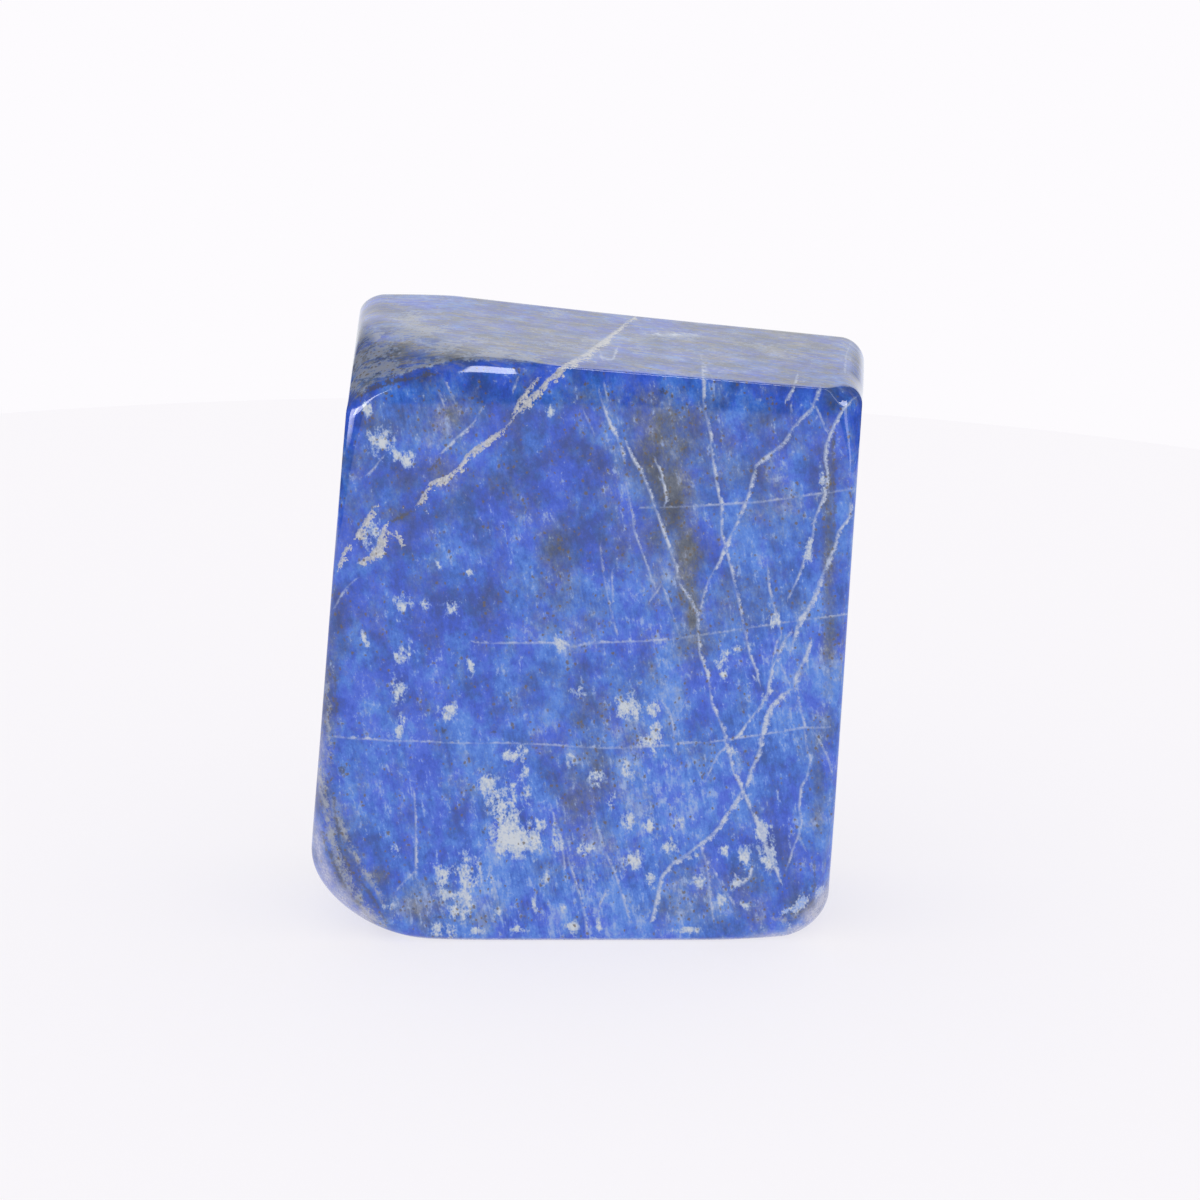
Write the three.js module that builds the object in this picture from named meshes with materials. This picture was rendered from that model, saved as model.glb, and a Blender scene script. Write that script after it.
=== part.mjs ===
// A polished freeform of lapis lazuli: one piece of stone, ground to a leaning block that stands on
// a flat cut base. Its front is a flat mirror-polished face, its top slopes down to the right and
// rolls off over the front left corner, its lower left corner is broadly rounded, and its back is
// softer, with two hand-ground bevels.
//
// Millimetres. +X is to the right, +Y from the front face to the back, +Z up. The walls below are
// written from the foot of the front face; the finished stone is then moved so that the origin is
// under the middle of its bounding box, on the base.

import * as THREE from "three";
import { mergeVertices } from "three/addons/utils/BufferGeometryUtils.js";

// The left and right walls: where each meets the base plane, and how far it leans per mm of height.
const LEFT_FOOT = -42.65;
const LEFT_LEAN = 0.0913;
const RIGHT_FOOT = 32.55;
const RIGHT_LEAN = 0.0495;
// How far the right wall moves out per mm towards the back: at its foot, near its top, and the
// heights between which it changes.
const RIGHT_TURN = 0.03;
const RIGHT_TURN_ABOVE = 0.06;
const RIGHT_TURN_CHANGE = [45, 80];

// The top: its height over the middle of the front face, and its fall to the right.
const TOP_HEIGHT = 85;
const TOP_FALL = 0.085;
// The shoulder, where the top rolls off towards the front left corner from a slanting line.
const SHOULDER_START_X = -14.1;
const SHOULDER_TO_LEFT = 0.764;
const SHOULDER_TO_FRONT = 0.568;
const SHOULDER_DROP = 0.065;
const SHOULDER_POWER = 1.7;

// The back wall: the stone's thickness at the middle, thinner to the right, thicker to the foot.
const THICKNESS = 36.7;
const BACK_FALL = 0.093;
const BACK_FLARE = 0.01;

// The corners of the front outline, going round. The lower left one is drawn out along the base.
const LOWER_LEFT_RADIUS = 13.4;
const LOWER_LEFT_STRETCH = 1.37;
const LOWER_RIGHT_RADIUS = 7.2;
const UPPER_RIGHT_RADIUS = 3.1;
const UPPER_LEFT_RADIUS = 5.2;

// The rounding of the front face's edge: narrow, but broader at some corners.
// Each swelling of the edge: [x, z, extra radius, reach].
const FRONT_EDGE_RADIUS = 1.4;
const FRONT_EDGE_SWELLINGS = [
  [-39, 6, 4.6, 8],
  [31, 3, 3, 6],
  [36, 80, 1, 7],
  [-24, 86, 1, 10],
];
const BACK_EDGE_RADIUS = 2.6;
const BACK_EDGE_SWELLINGS = [
  [-38, 8, 7, 16],
  [32, 6, 4, 14],
  [34, 55, 2, 22],
];

// Bevels ground off the lower corners of the back: each a plane's direction, how far it lies from
// the foot of the front face, and the rounding where it meets the walls.
const BEVELS = [
  { normal: [0.66, 0.72, -0.21], reach: 41.5, rounding: 5 },
  { normal: [-0.62, 0.74, -0.26], reach: 47.6, rounding: 6 },
];

// The slow unevenness of hand grinding, on every wall but the base and the front face.
const UNEVEN_DEPTH = 0.16;
const UNEVEN_WAVES = [
  [0.11, 0.05, 0.07, 0.4],
  [-0.06, 0.12, 0.1, 2.1],
  [0.04, -0.09, 0.16, 4.2],
];
const UNEVEN_FROM_FRONT = 5;
const UNEVEN_FROM_BASE = 6;

// How many cells the surface has across, deep and high. They crowd towards the rounded edges.
const CELLS = [30, 16, 34];
const CROWDING = 0.68;
const SEARCH_STEPS = 44;

function leftWall(z) {
  return LEFT_FOOT + LEFT_LEAN * z;
}

function rightWall(y, z) {
  const up = THREE.MathUtils.smoothstep(z, ...RIGHT_TURN_CHANGE);
  const turn = THREE.MathUtils.lerp(RIGHT_TURN, RIGHT_TURN_ABOVE, up);
  return RIGHT_FOOT + turn * y + RIGHT_LEAN * z;
}

function topWall(x, y) {
  const into = SHOULDER_TO_LEFT * (SHOULDER_START_X - x) - SHOULDER_TO_FRONT * y;
  const drop = SHOULDER_DROP * Math.pow(Math.max(into, 0), SHOULDER_POWER);
  return TOP_HEIGHT - TOP_FALL * x - drop;
}

function backWall(x, z) {
  return THICKNESS - BACK_FALL * x + BACK_FLARE * (TOP_HEIGHT - z);
}

// An edge radius that swells near the listed places of the front outline.
function edgeRadius(x, z, radius, swellings) {
  let total = radius;
  for (const [cx, cz, extra, reach] of swellings) {
    const away = ((x - cx) ** 2 + (z - cz) ** 2) / (2 * reach * reach);
    total += extra * Math.exp(-away);
  }
  return total;
}

// The meeting of two walls, rounded to a radius. a and b are heights above the walls.
function roundedMeeting(a, b, radius) {
  const past = Math.hypot(Math.max(a + radius, 0), Math.max(b + radius, 0));
  return Math.min(-radius, Math.max(a, b)) + past;
}

// The slow unevenness at a point, nothing at the base and the front face.
function unevenness(x, y, z) {
  let sum = 0;
  for (const [kx, ky, kz, phase] of UNEVEN_WAVES) {
    sum += Math.sin(kx * x + ky * y + kz * z + phase);
  }
  const fromFront = THREE.MathUtils.smoothstep(y, 0, UNEVEN_FROM_FRONT);
  const fromBase = THREE.MathUtils.smoothstep(z, 0, UNEVEN_FROM_BASE);
  return (UNEVEN_DEPTH * sum * fromFront * fromBase) / UNEVEN_WAVES.length;
}

// How far a point lies outside the stone, negative inside.
function outside(x, y, z) {
  const left = leftWall(z) - x;
  const right = x - rightWall(y, z);
  const top = z - topWall(x, y);
  const base = -z;
  const leftFoot = roundedMeeting(left / LOWER_LEFT_STRETCH, base, LOWER_LEFT_RADIUS);
  const rightFoot = roundedMeeting(right, base, LOWER_RIGHT_RADIUS);
  const leftSide = roundedMeeting(leftFoot, top, UPPER_LEFT_RADIUS);
  const rightSide = roundedMeeting(rightFoot, top, UPPER_RIGHT_RADIUS);
  const outline = Math.max(leftSide, rightSide);
  const frontRadius = edgeRadius(x, z, FRONT_EDGE_RADIUS, FRONT_EDGE_SWELLINGS);
  const backRadius = edgeRadius(x, z, BACK_EDGE_RADIUS, BACK_EDGE_SWELLINGS);
  let far = roundedMeeting(outline, -y, frontRadius);
  far = roundedMeeting(far, y - backWall(x, z), backRadius);
  for (const { normal, reach, rounding } of BEVELS) {
    const height = normal[0] * x + normal[1] * y + normal[2] * z - reach;
    far = roundedMeeting(far, height, rounding);
  }
  return far + unevenness(x, y, z);
}

// The point of a block with the stone's lean, from three shares between 0 and 1.
function blockPoint(across, deep, high) {
  const z = high * TOP_HEIGHT;
  const x = THREE.MathUtils.lerp(leftWall(z), rightWall(0, z), across);
  const lift = TOP_FALL * x * high;
  return new THREE.Vector3(x, deep * backWall(x, z), z - lift);
}

// Evenly counted shares, crowded towards 0 and 1.
function crowded(share) {
  const eased = 0.5 - 0.5 * Math.cos(Math.PI * share);
  return THREE.MathUtils.lerp(share, eased, CROWDING);
}

// Moves a point of the block along the line from the stone's middle until it lies on the surface.
function onSurface(point, middle) {
  const way = point.clone().sub(middle);
  let inner = 0.3;
  let outer = 1.3;
  for (let step = 0; step < SEARCH_STEPS; step++) {
    const share = (inner + outer) / 2;
    const at = middle.clone().addScaledVector(way, share);
    if (outside(at.x, at.y, at.z) < 0) inner = share;
    else outer = share;
  }
  return middle.clone().addScaledVector(way, (inner + outer) / 2);
}

// One side of the block as a grid of points, with its two running axes and its fixed one.
function addSide(positions, index, middle, running, fixed, value) {
  const [first, second] = running;
  const start = positions.length / 3;
  const columns = CELLS[first] + 1;
  for (let j = 0; j <= CELLS[second]; j++) {
    for (let i = 0; i <= CELLS[first]; i++) {
      const shares = [0, 0, 0];
      shares[first] = crowded(i / CELLS[first]);
      shares[second] = crowded(j / CELLS[second]);
      shares[fixed] = value;
      const point = onSurface(blockPoint(...shares), middle);
      positions.push(point.x, point.y, point.z);
    }
  }
  for (let j = 0; j < CELLS[second]; j++) {
    for (let i = 0; i < CELLS[first]; i++) {
      const a = start + j * columns + i;
      const b = a + 1;
      const c = a + columns;
      const d = c + 1;
      if (value === 1) index.push(a, b, d, a, d, c);
      else index.push(a, d, b, a, c, d);
    }
  }
}

function stoneGeometry() {
  const positions = [];
  const index = [];
  const middle = blockPoint(0.5, 0.5, 0.5);
  for (const value of [0, 1]) {
    addSide(positions, index, middle, [0, 1], 2, value);
    addSide(positions, index, middle, [1, 2], 0, value);
    addSide(positions, index, middle, [2, 0], 1, value);
  }
  const geometry = new THREE.BufferGeometry();
  geometry.setAttribute("position", new THREE.Float32BufferAttribute(positions, 3));
  geometry.setIndex(index);
  const closed = mergeVertices(geometry, 1e-3);
  closed.computeBoundingBox();
  const { min, max } = closed.boundingBox;
  closed.translate(-(min.x + max.x) / 2, -(min.y + max.y) / 2, -min.z);
  closed.computeVertexNormals();
  return closed;
}

const lapisBlue = new THREE.MeshStandardMaterial({
  color: new THREE.Color(0.07, 0.16, 0.62),
  roughness: 0.12,
  metalness: 0,
});

const lapis = new THREE.Mesh(stoneGeometry(), lapisBlue);
lapis.name = "lapis_lazuli";

const stone = new THREE.Group();
stone.add(lapis);

export default stone;
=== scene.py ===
"""A polished freeform of lapis lazuli on a round white floor, seen as in the photograph."""

import math

import bpy
import numpy as np
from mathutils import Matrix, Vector


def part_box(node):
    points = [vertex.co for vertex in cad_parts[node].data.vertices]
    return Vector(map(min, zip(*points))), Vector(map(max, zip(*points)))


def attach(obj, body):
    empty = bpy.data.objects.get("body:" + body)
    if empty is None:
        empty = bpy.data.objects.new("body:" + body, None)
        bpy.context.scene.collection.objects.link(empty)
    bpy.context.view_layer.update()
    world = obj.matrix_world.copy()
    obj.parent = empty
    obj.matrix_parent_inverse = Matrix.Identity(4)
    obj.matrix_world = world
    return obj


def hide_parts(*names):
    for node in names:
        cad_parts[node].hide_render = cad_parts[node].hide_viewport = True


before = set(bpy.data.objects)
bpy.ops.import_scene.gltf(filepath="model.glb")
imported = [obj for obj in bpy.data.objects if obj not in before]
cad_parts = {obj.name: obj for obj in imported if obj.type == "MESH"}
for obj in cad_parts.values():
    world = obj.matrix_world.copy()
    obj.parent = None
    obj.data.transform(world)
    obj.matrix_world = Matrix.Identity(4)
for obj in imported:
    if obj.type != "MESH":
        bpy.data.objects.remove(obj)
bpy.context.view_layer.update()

NODE = "lapis_lazuli"
MM = 0.001

# The camera, in millimetres from the foot of the front face: x right, y back, z up. The
# nearest and farthest places it sees are in metres.
LENS = 150.0
SENSOR = 36.0
PHOTO = 1200.0
PIXELS_PER_TURN = LENS / SENSOR * PHOTO
CAMERA_DISTANCE = 704.0
CAMERA_ELEVATION = math.radians(17.1)
AIM = np.array([0.0, 0.0, 51.6])
PIXELS_PER_MM = 7.1
NEAREST, FARTHEST = 0.05, 20

# The round floor.
FLOOR_RADIUS = 305.0
FLOOR_CENTRE = (-33.5, 2.4)


# The stone's shape, in millimetres, from the same walls as the solid.

LEFT_FOOT, LEFT_LEAN = -42.65, 0.0913
RIGHT_FOOT, RIGHT_LEAN = 32.55, 0.0495
# How far the right wall moves out per mm of depth: at its foot, near its top, and the heights
# between which it changes.
RIGHT_TURNS, RIGHT_TURN_CHANGE = (0.03, 0.06), (45, 80)
TOP_HEIGHT, TOP_FALL = 85.0, 0.085
SHOULDER_START_X, SHOULDER_TO_LEFT, SHOULDER_TO_FRONT = -14.1, 0.764, 0.568
SHOULDER_DROP, SHOULDER_POWER = 0.065, 1.7
# The gentler roll-off at the back left: where it starts, its drop, its power and its depths.
ROLL_START_X, ROLL_DROP, ROLL_POWER, ROLL_DEPTHS = -21.0, 0.05, 1.25, (8, 28)
THICKNESS, BACK_FALL, BACK_FLARE = 36.7, 0.093, 0.01
LOWER_LEFT_RADIUS, LOWER_LEFT_STRETCH = 13.4, 1.37
LOWER_RIGHT_RADIUS = 6.7
# The upper corners are tighter at the front: their radii there, further back, and how far back.
UPPER_LEFT_RADII, UPPER_RIGHT_RADII, UPPER_DEPTH = (3.0, 2.6), (2.6, 3.6), 12.0
FRONT_EDGE_RADIUS, BACK_EDGE_RADIUS = 1.4, 2.6
# Each swelling of an edge: (x, z, extra radius, reach).
FRONT_EDGE_SWELLINGS = [
    (-39, 6, 4.6, 8), (31, 3, 3, 6), (35, 80, 1.8, 4), (-14, 86, 0.9, 4), (-31, 82, 0.2, 5),
    (-36, 80, 0.5, 3),
]
BACK_EDGE_SWELLINGS = [(-38, 8, 7, 16), (32, 6, 4, 14), (34, 55, 2, 22)]
# Each bevel: (its plane's direction, how far it lies from the foot of the front face, its rounding).
BEVELS = [((0.66, 0.72, -0.21), 41.5, 5.0), ((-0.62, 0.74, -0.26), 47.6, 6.0)]
# Along most of its top the front face ends in a sharper edge.
SHARP_RADIUS = 0.12
SHARP_FROM, SHARP_TO, SHARP_ABOVE = (-12, -4), (31, 34), (70, 78)
UNEVEN_DEPTH = 0.16
UNEVEN_WAVES = [(0.11, 0.05, 0.07, 0.4), (-0.06, 0.12, 0.1, 2.1), (0.04, -0.09, 0.16, 4.2)]
UNEVEN_FROM_FRONT, UNEVEN_FROM_BASE = 5.0, 6.0
# The mesh: its cells across, deep and high, and how much they crowd towards the rounded edges.
CELLS = (150, 60, 170)
CROWDING = 0.68
# The search for the surface, in shares of the way from the stone's middle to the block's side.
SEARCH_FROM, SEARCH_TO, SEARCH_STEPS = 0.3, 1.3, 36


def smoothstep(value, low, high):
    """0 at low, 1 at high, and smooth between them."""
    share = np.clip((value - low) / (high - low), 0, 1)
    return share * share * (3 - 2 * share)


def between(pair, share):
    return pair[0] + (pair[1] - pair[0]) * share


def left_wall(z):
    return LEFT_FOOT + LEFT_LEAN * z


def right_wall(y, z):
    turn = between(RIGHT_TURNS, smoothstep(z, *RIGHT_TURN_CHANGE))
    return RIGHT_FOOT + turn * y + RIGHT_LEAN * z


def top_wall(x, y):
    into = SHOULDER_TO_LEFT * (SHOULDER_START_X - x) - SHOULDER_TO_FRONT * y
    drop = SHOULDER_DROP * np.maximum(into, 0) ** SHOULDER_POWER
    roll = ROLL_DROP * np.maximum(ROLL_START_X - x, 0) ** ROLL_POWER * smoothstep(y, *ROLL_DEPTHS)
    return TOP_HEIGHT - TOP_FALL * x - drop - roll


def back_wall(x, z):
    return THICKNESS - BACK_FALL * x + BACK_FLARE * (TOP_HEIGHT - z)


def edge_radius(x, z, radius, swellings):
    """An edge radius that swells near the listed places of the front outline."""
    total = radius + 0 * x
    for cx, cz, extra, reach in swellings:
        total = total + extra * np.exp(-((x - cx) ** 2 + (z - cz) ** 2) / (2 * reach * reach))
    return total


def rounded_meeting(a, b, radius):
    """The meeting of two walls, rounded to a radius. a and b are heights above the walls."""
    past = np.hypot(np.maximum(a + radius, 0), np.maximum(b + radius, 0))
    return np.minimum(-radius, np.maximum(a, b)) + past


def unevenness(x, y, z):
    """The slow unevenness of hand grinding, nothing at the base and the front face."""
    total = sum(np.sin(kx * x + ky * y + kz * z + phase) for kx, ky, kz, phase in UNEVEN_WAVES)
    fade = smoothstep(y, 0, UNEVEN_FROM_FRONT) * smoothstep(z, 0, UNEVEN_FROM_BASE)
    return UNEVEN_DEPTH * total * fade / len(UNEVEN_WAVES)


def outside(points):
    """How far points lie outside the stone, negative inside."""
    x, y, z = np.moveaxis(points, -1, 0)
    left, right, top, base = left_wall(z) - x, x - right_wall(y, z), z - top_wall(x, y), -z
    left_foot = rounded_meeting(left / LOWER_LEFT_STRETCH, base, LOWER_LEFT_RADIUS)
    right_foot = rounded_meeting(right, base, LOWER_RIGHT_RADIUS)
    behind = smoothstep(y, 0, UPPER_DEPTH)
    left_side = rounded_meeting(left_foot, top, between(UPPER_LEFT_RADII, behind))
    right_side = rounded_meeting(right_foot, top, between(UPPER_RIGHT_RADII, behind))
    front_radius = edge_radius(x, z, FRONT_EDGE_RADIUS, FRONT_EDGE_SWELLINGS)
    sharp = smoothstep(x, *SHARP_FROM) * (1 - smoothstep(x, *SHARP_TO)) * smoothstep(z, *SHARP_ABOVE)
    front_radius = front_radius + (SHARP_RADIUS - front_radius) * sharp
    back_radius = edge_radius(x, z, BACK_EDGE_RADIUS, BACK_EDGE_SWELLINGS)
    far = rounded_meeting(np.maximum(left_side, right_side), -y, front_radius)
    far = rounded_meeting(far, y - back_wall(x, z), back_radius)
    for (nx, ny, nz), reach, rounding in BEVELS:
        far = rounded_meeting(far, nx * x + ny * y + nz * z - reach, rounding)
    return far + unevenness(x, y, z)


def block_points(shares):
    """Points of a block with the stone's lean, from shares between 0 and 1 along each axis."""
    across, deep, high = np.moveaxis(shares, -1, 0)
    z = high * TOP_HEIGHT
    x = left_wall(z) + (right_wall(0, z) - left_wall(z)) * across
    return np.stack([x, deep * back_wall(x, z), z - TOP_FALL * x * high], -1)


def on_surface(points, middle):
    """The points moved along the lines from the stone's middle until they lie on the surface."""
    way = points - middle
    inner, outer = np.full(len(points), SEARCH_FROM), np.full(len(points), SEARCH_TO)
    for _ in range(SEARCH_STEPS):
        share = (inner + outer) / 2
        within = outside(middle + way * share[:, None]) < 0
        inner, outer = np.where(within, share, inner), np.where(within, outer, share)
    return middle + way * ((inner + outer) / 2)[:, None]


def stone_mesh():
    """(points in mm from the foot of the front face, four corners per face, faces out)."""
    lattice, faces = [], []
    for value in (0, 1):
        for first, second, fixed in ((0, 1, 2), (1, 2, 0), (2, 0, 1)):
            i, j = np.meshgrid(range(CELLS[first] + 1), range(CELLS[second] + 1), indexing="ij")
            spot = np.zeros(i.shape + (3,), int)
            spot[..., first], spot[..., second], spot[..., fixed] = i, j, value * CELLS[fixed]
            key = (spot[..., 0] * (CELLS[1] + 1) + spot[..., 1]) * (CELLS[2] + 1) + spot[..., 2]
            ring = [key[:-1, :-1], key[1:, :-1], key[1:, 1:], key[:-1, 1:]]
            faces.append(np.stack(ring if value else ring[::-1], -1).reshape(-1, 4))
            lattice.append(np.column_stack([key.reshape(-1), spot.reshape(-1, 3)]))
    lattice = np.concatenate(lattice)
    keys, first_seen = np.unique(lattice[:, 0], return_index=True)
    shares = lattice[first_seen, 1:] / np.array(CELLS)
    eased = 0.5 - 0.5 * np.cos(np.pi * shares)
    shares = shares + (eased - shares) * CROWDING
    middle = block_points(np.array([0.5, 0.5, 0.5]))
    points = on_surface(block_points(shares), middle)
    return points, np.searchsorted(keys, np.concatenate(faces))


def seen_at(points):
    """Where points show in the photograph, in its pixels."""
    x, y, z = np.moveaxis(points - AIM, -1, 0)
    depth = CAMERA_DISTANCE + y * math.cos(CAMERA_ELEVATION) - z * math.sin(CAMERA_ELEVATION)
    up = y * math.sin(CAMERA_ELEVATION) + z * math.cos(CAMERA_ELEVATION)
    half = PHOTO / 2
    return np.stack([half + PIXELS_PER_TURN * x / depth, half - PIXELS_PER_TURN * up / depth], -1)


# The markings. A vein is (half its width, its route), in pixels of the photograph. A route's
# point may have a third number, which multiplies the width there.

CREAM_VEINS = [
    (3.4, (634, 318, 0.5), (618, 330, 0.5), (603, 343), (584, 357), (565, 367), (551, 380, 1.3), (541, 390),
     (532, 398, 1.2), (525, 406), (515, 417, 0.7), (513, 419, 0.2), (503, 430, 0.2), (499, 434, 0.8),
     (486, 444, 1.5), (470, 455, 1.2), (459, 469, 0.7), (445, 480, 1.2), (432, 484, 1.1), (426, 494, 1.1),
     (418, 506, 0.6)),
    (2.2, (538, 379, 0.7), (527, 392), (519, 403, 1.2), (515, 412)),
    (2.6, (348, 548), (344, 556, 1.2), (339, 568)),
    (4.0, (386, 527, 0.9), (384, 537, 1.5), (380, 549, 1.4), (373, 559, 1.5), (364, 562, 1.2)),
    (3.4, (375, 508, 0.7), (368, 519, 1.1), (365, 527, 1.5), (358, 536)),
    (2.4, (388, 531, 0.8), (399, 536, 1.2), (402, 545, 0.7)),
]
WHITE_VEINS = [
    (1.5, (714, 381, 0.0), (702, 360, 0.4), (703, 371), (704, 401), (707, 418), (711, 436), (714, 465),
     (719, 496), (722, 504, 1.4), (722, 533), (726, 547, 1.3), (731, 566), (736, 588), (742, 615),
     (745, 630)),
    (1.9, (819, 391, 1.2), (813, 408), (801, 419), (792, 430), (785, 442), (774, 452, 1.2), (763, 460, 1.3),
     (756, 466, 0.8), (753, 480, 1.4), (748, 498), (744, 506), (739, 520), (731, 537), (725, 548, 1.3),
     (721, 559)),
    (2.4, (851, 503, 0.6), (850, 517, 0.6), (839, 532, 0.9), (836, 545, 0.9), (828, 564, 1.1),
     (822, 579, 1.2), (815, 597, 1.3), (808, 611, 1.3), (800, 621, 1.3), (795, 638), (791, 650, 0.9)),
    (1.9, (791, 632, 0.8), (783, 644, 0.9), (778, 658, 1.1), (773, 667), (769, 685, 0.9), (769, 693, 1.2),
     (760, 708), (748, 723, 0.8), (738, 736, 0.8), (729, 741, 0.7)),
    (2.5, (811, 642, 0.7), (806, 657, 0.9), (797, 676), (795, 689, 1.2), (783, 695, 1.1), (772, 707, 1.3),
     (767, 721, 1.8), (762, 739, 1.1), (760, 753), (751, 772, 0.9), (747, 786, 0.9), (743, 792, 1.1),
     (737, 802, 1.3), (725, 819, 1.2), (719, 828), (710, 838, 1.2), (701, 844), (690, 853, 0.9),
     (673, 865, 1.2), (663, 876, 1.2), (660, 887), (657, 902), (652, 920, 0.7)),
    (1.9, (719, 718, 0.8), (724, 731), (727, 744, 1.2), (730, 756), (734, 772), (743, 790), (749, 804),
     (756, 818, 1.4), (763, 834, 2.2), (769, 854, 1.8), (775, 866), (781, 883, 0.6)),
    (1.6, (599, 391, 0.6), (605, 409), (611, 428), (615, 432, 1.4), (620, 442, 1.2), (625, 463, 0.7)),
    (1.6, (626, 442, 0.7), (633, 459), (643, 474, 1.2), (650, 492), (658, 514), (663, 530), (668, 543),
     (676, 564), (680, 584), (691, 600, 1.4), (698, 618, 1.3), (699, 638), (700, 653), (707, 672, 1.1),
     (711, 691), (712, 704), (719, 718)),
    (0.9, (604, 384), (608, 401)),
    (0.8, (584, 412), (594, 432)),
    (1.2, (654, 458, 0.8), (662, 474), (667, 501, 1.4), (664, 508)),
    (1.0, (626, 483, 0.6), (633, 516), (634, 529, 1.6), (642, 551), (652, 579), (656, 589, 0.6)),
    (1.0, (662, 584), (671, 608), (680, 635)),
    (0.8, (662, 584), (655, 594), (649, 602)),
    (0.9, (600, 545, 0.6), (602, 564), (608, 597), (612, 615), (617, 634)),
    (0.8, (612, 571), (613, 602)),
    (1.3, (745, 630), (748, 645), (751, 657), (757, 672), (760, 685, 0.6)),
    (1.4, (721, 559), (716, 568), (709, 580, 0.6), (705, 591), (702, 606), (698, 616)),
    (1.5, (797, 376, 0.7), (794, 388), (787, 399, 1.3)),
    (1.0, (791, 405), (792, 427)),
    (0.9, (815, 405), (822, 420), (826, 431)),
    (1.8, (855, 398, 0.8), (843, 409), (836, 422, 1.1), (830, 436, 1.1), (826, 446), (825, 459), (828, 473),
     (827, 491, 1.2), (819, 510), (814, 522, 0.8)),
    (1.2, (814, 522), (813, 536), (808, 547, 1.3), (802, 568), (795, 585), (788, 599, 0.7)),
    (1.0, (777, 640), (774, 655), (772, 666)),
    (1.0, (727, 746), (719, 753), (711, 769), (706, 781)),
    (1.3, (701, 846), (706, 860), (708, 871), (710, 892), (712, 908), (714, 922, 0.6)),
    (0.8, (781, 664), (786, 676), (790, 686)),
    (1.0, (768, 566), (769, 589), (777, 615), (782, 635)),
    (0.9, (640, 508, 0.4), (668, 507, 0.8), (693, 506), (731, 504), (759, 502), (782, 499), (808, 495, 1.2),
     (825, 493), (852, 489, 0.7)),
    (0.9, (472, 642, 0.7), (479, 642, 1.5), (496, 643), (528, 643), (561, 643, 1.3), (574, 647),
     (589, 643, 1.2), (615, 642), (645, 641), (664, 640), (681, 638), (700, 635), (728, 631), (744, 628),
     (769, 625), (799, 620), (827, 617), (847, 614)),
    (0.9, (327, 736, 0.6), (353, 738, 1.4), (371, 739, 1.3), (392, 741), (420, 741), (457, 743, 0.8),
     (500, 743, 0.7), (532, 744, 0.7), (587, 747), (608, 748), (640, 747), (663, 746), (686, 743),
     (710, 742), (739, 738), (760, 735), (783, 731), (803, 728), (829, 727)),
    (1.0, (798, 697), (803, 716), (805, 731), (807, 749, 1.2), (811, 759), (807, 778), (801, 786, 1.2),
     (799, 808), (802, 822), (798, 837), (792, 852), (786, 871, 0.6)),
    (0.8, (800, 838), (806, 850)),
    (0.9, (814, 731), (822, 746), (829, 760), (832, 773)),
    (0.8, (661, 699), (670, 714), (674, 731), (674, 751)),
    (0.7, (687, 698), (683, 707), (678, 716)),
    (1.0, (414, 790, 0.7), (416, 823), (416, 847, 1.3), (416, 872, 1.4)),
    (0.7, (414, 872), (405, 881), (397, 889)),
    (1.0, (551, 805), (559, 833), (564, 856), (565, 869)),
    (1.3, (569, 861), (576, 882, 1.2), (582, 902, 1.2), (586, 922), (587, 934)),
    (1.1, (597, 824, 1.3), (602, 842), (608, 858), (614, 871), (622, 894), (629, 917)),
    (0.9, (489, 869), (497, 896)),
    (1.1, (535, 894), (534, 910)),
    (1.0, (714, 871), (724, 889), (735, 906)),
    (1.1, (483, 407, 0.7), (474, 423), (463, 433, 1.5), (454, 441, 1.8), (442, 453, 1.2)),
    (1.4, (446, 382), (453, 397, 0.8), (460, 413, 0.5)),
    (1.0, (439, 392), (444, 405)),
    (1.0, (518, 378), (513, 390)),
    (0.9, (356, 579, 0.6), (349, 586), (343, 593, 1.8), (334, 609, 0.7)),
    (0.8, (383, 457), (375, 467), (367, 475)),
    (1.8, (652, 334, 0.7), (672, 335), (700, 335, 0.6)),
    (1.2, (616, 350), (613, 360), (602, 359), (600, 353)),
    (1.2, (692, 882), (700, 885)),
    (1.5, (735, 875, 1.2), (742, 884, 1.4), (750, 877), (752, 869)),
    (1.4, (606, 892), (601, 902), (599, 912)),
    (1.3, (469, 870, 0.6), (467, 890), (464, 906)),
    (1.0, (845, 372), (846, 356, 0.6), (849, 347, 0.4)),
]
DARK_SEAMS = [
    (1.5, (365, 392), (391, 382, 1.4), (420, 376, 1.3), (435, 374)),
    (1.2, (441, 456), (436, 463), (428, 471)),
    (1.4, (412, 511), (402, 516), (391, 521)),
    (0.9, (391, 524), (386, 540), (378, 553), (369, 561)),
    (1.0, (333, 795), (337, 825), (341, 851), (349, 868), (362, 884), (375, 902), (386, 923)),
    (1.2, (321, 832), (329, 851), (342, 882), (355, 900), (371, 921)),
    (1.1, (335, 676), (336, 700), (337, 722)),
    (1.0, (832, 440), (834, 470), (834, 500), (835, 530)),
    (0.9, (814, 862), (815, 880), (814, 892)),
    (1.0, (790, 914, 0.6), (802, 912), (808, 907), (813, 902), (815, 896), (822, 888, 0.5)),
    (1.0, (782, 914), (788, 911)),
    (0.8, (807, 919), (807, 927)),
]
# Soft greyish beige bands, which follow the layers where the lower left corner cuts them.
BEIGE_BANDS = [
    (4.2, (319, 768, 0.7), (324, 788, 1.2), (327, 806, 0.7), (329, 826), (334, 846, 1.1), (341, 866, 1.2),
     (349, 884, 1.1), (358, 899, 1.1), (369, 914), (384, 926, 0.5)),
    (2.0, (331, 796, 0.6), (341, 826), (350, 848, 1.2), (362, 868), (374, 886, 1.2), (386, 908, 0.6)),
    (1.6, (326, 676, 0.6), (328, 706), (329, 740, 1.2), (328, 764)),
    (1.8, (773, 918, 0.7), (786, 920), (800, 916, 0.7)),
]

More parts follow.
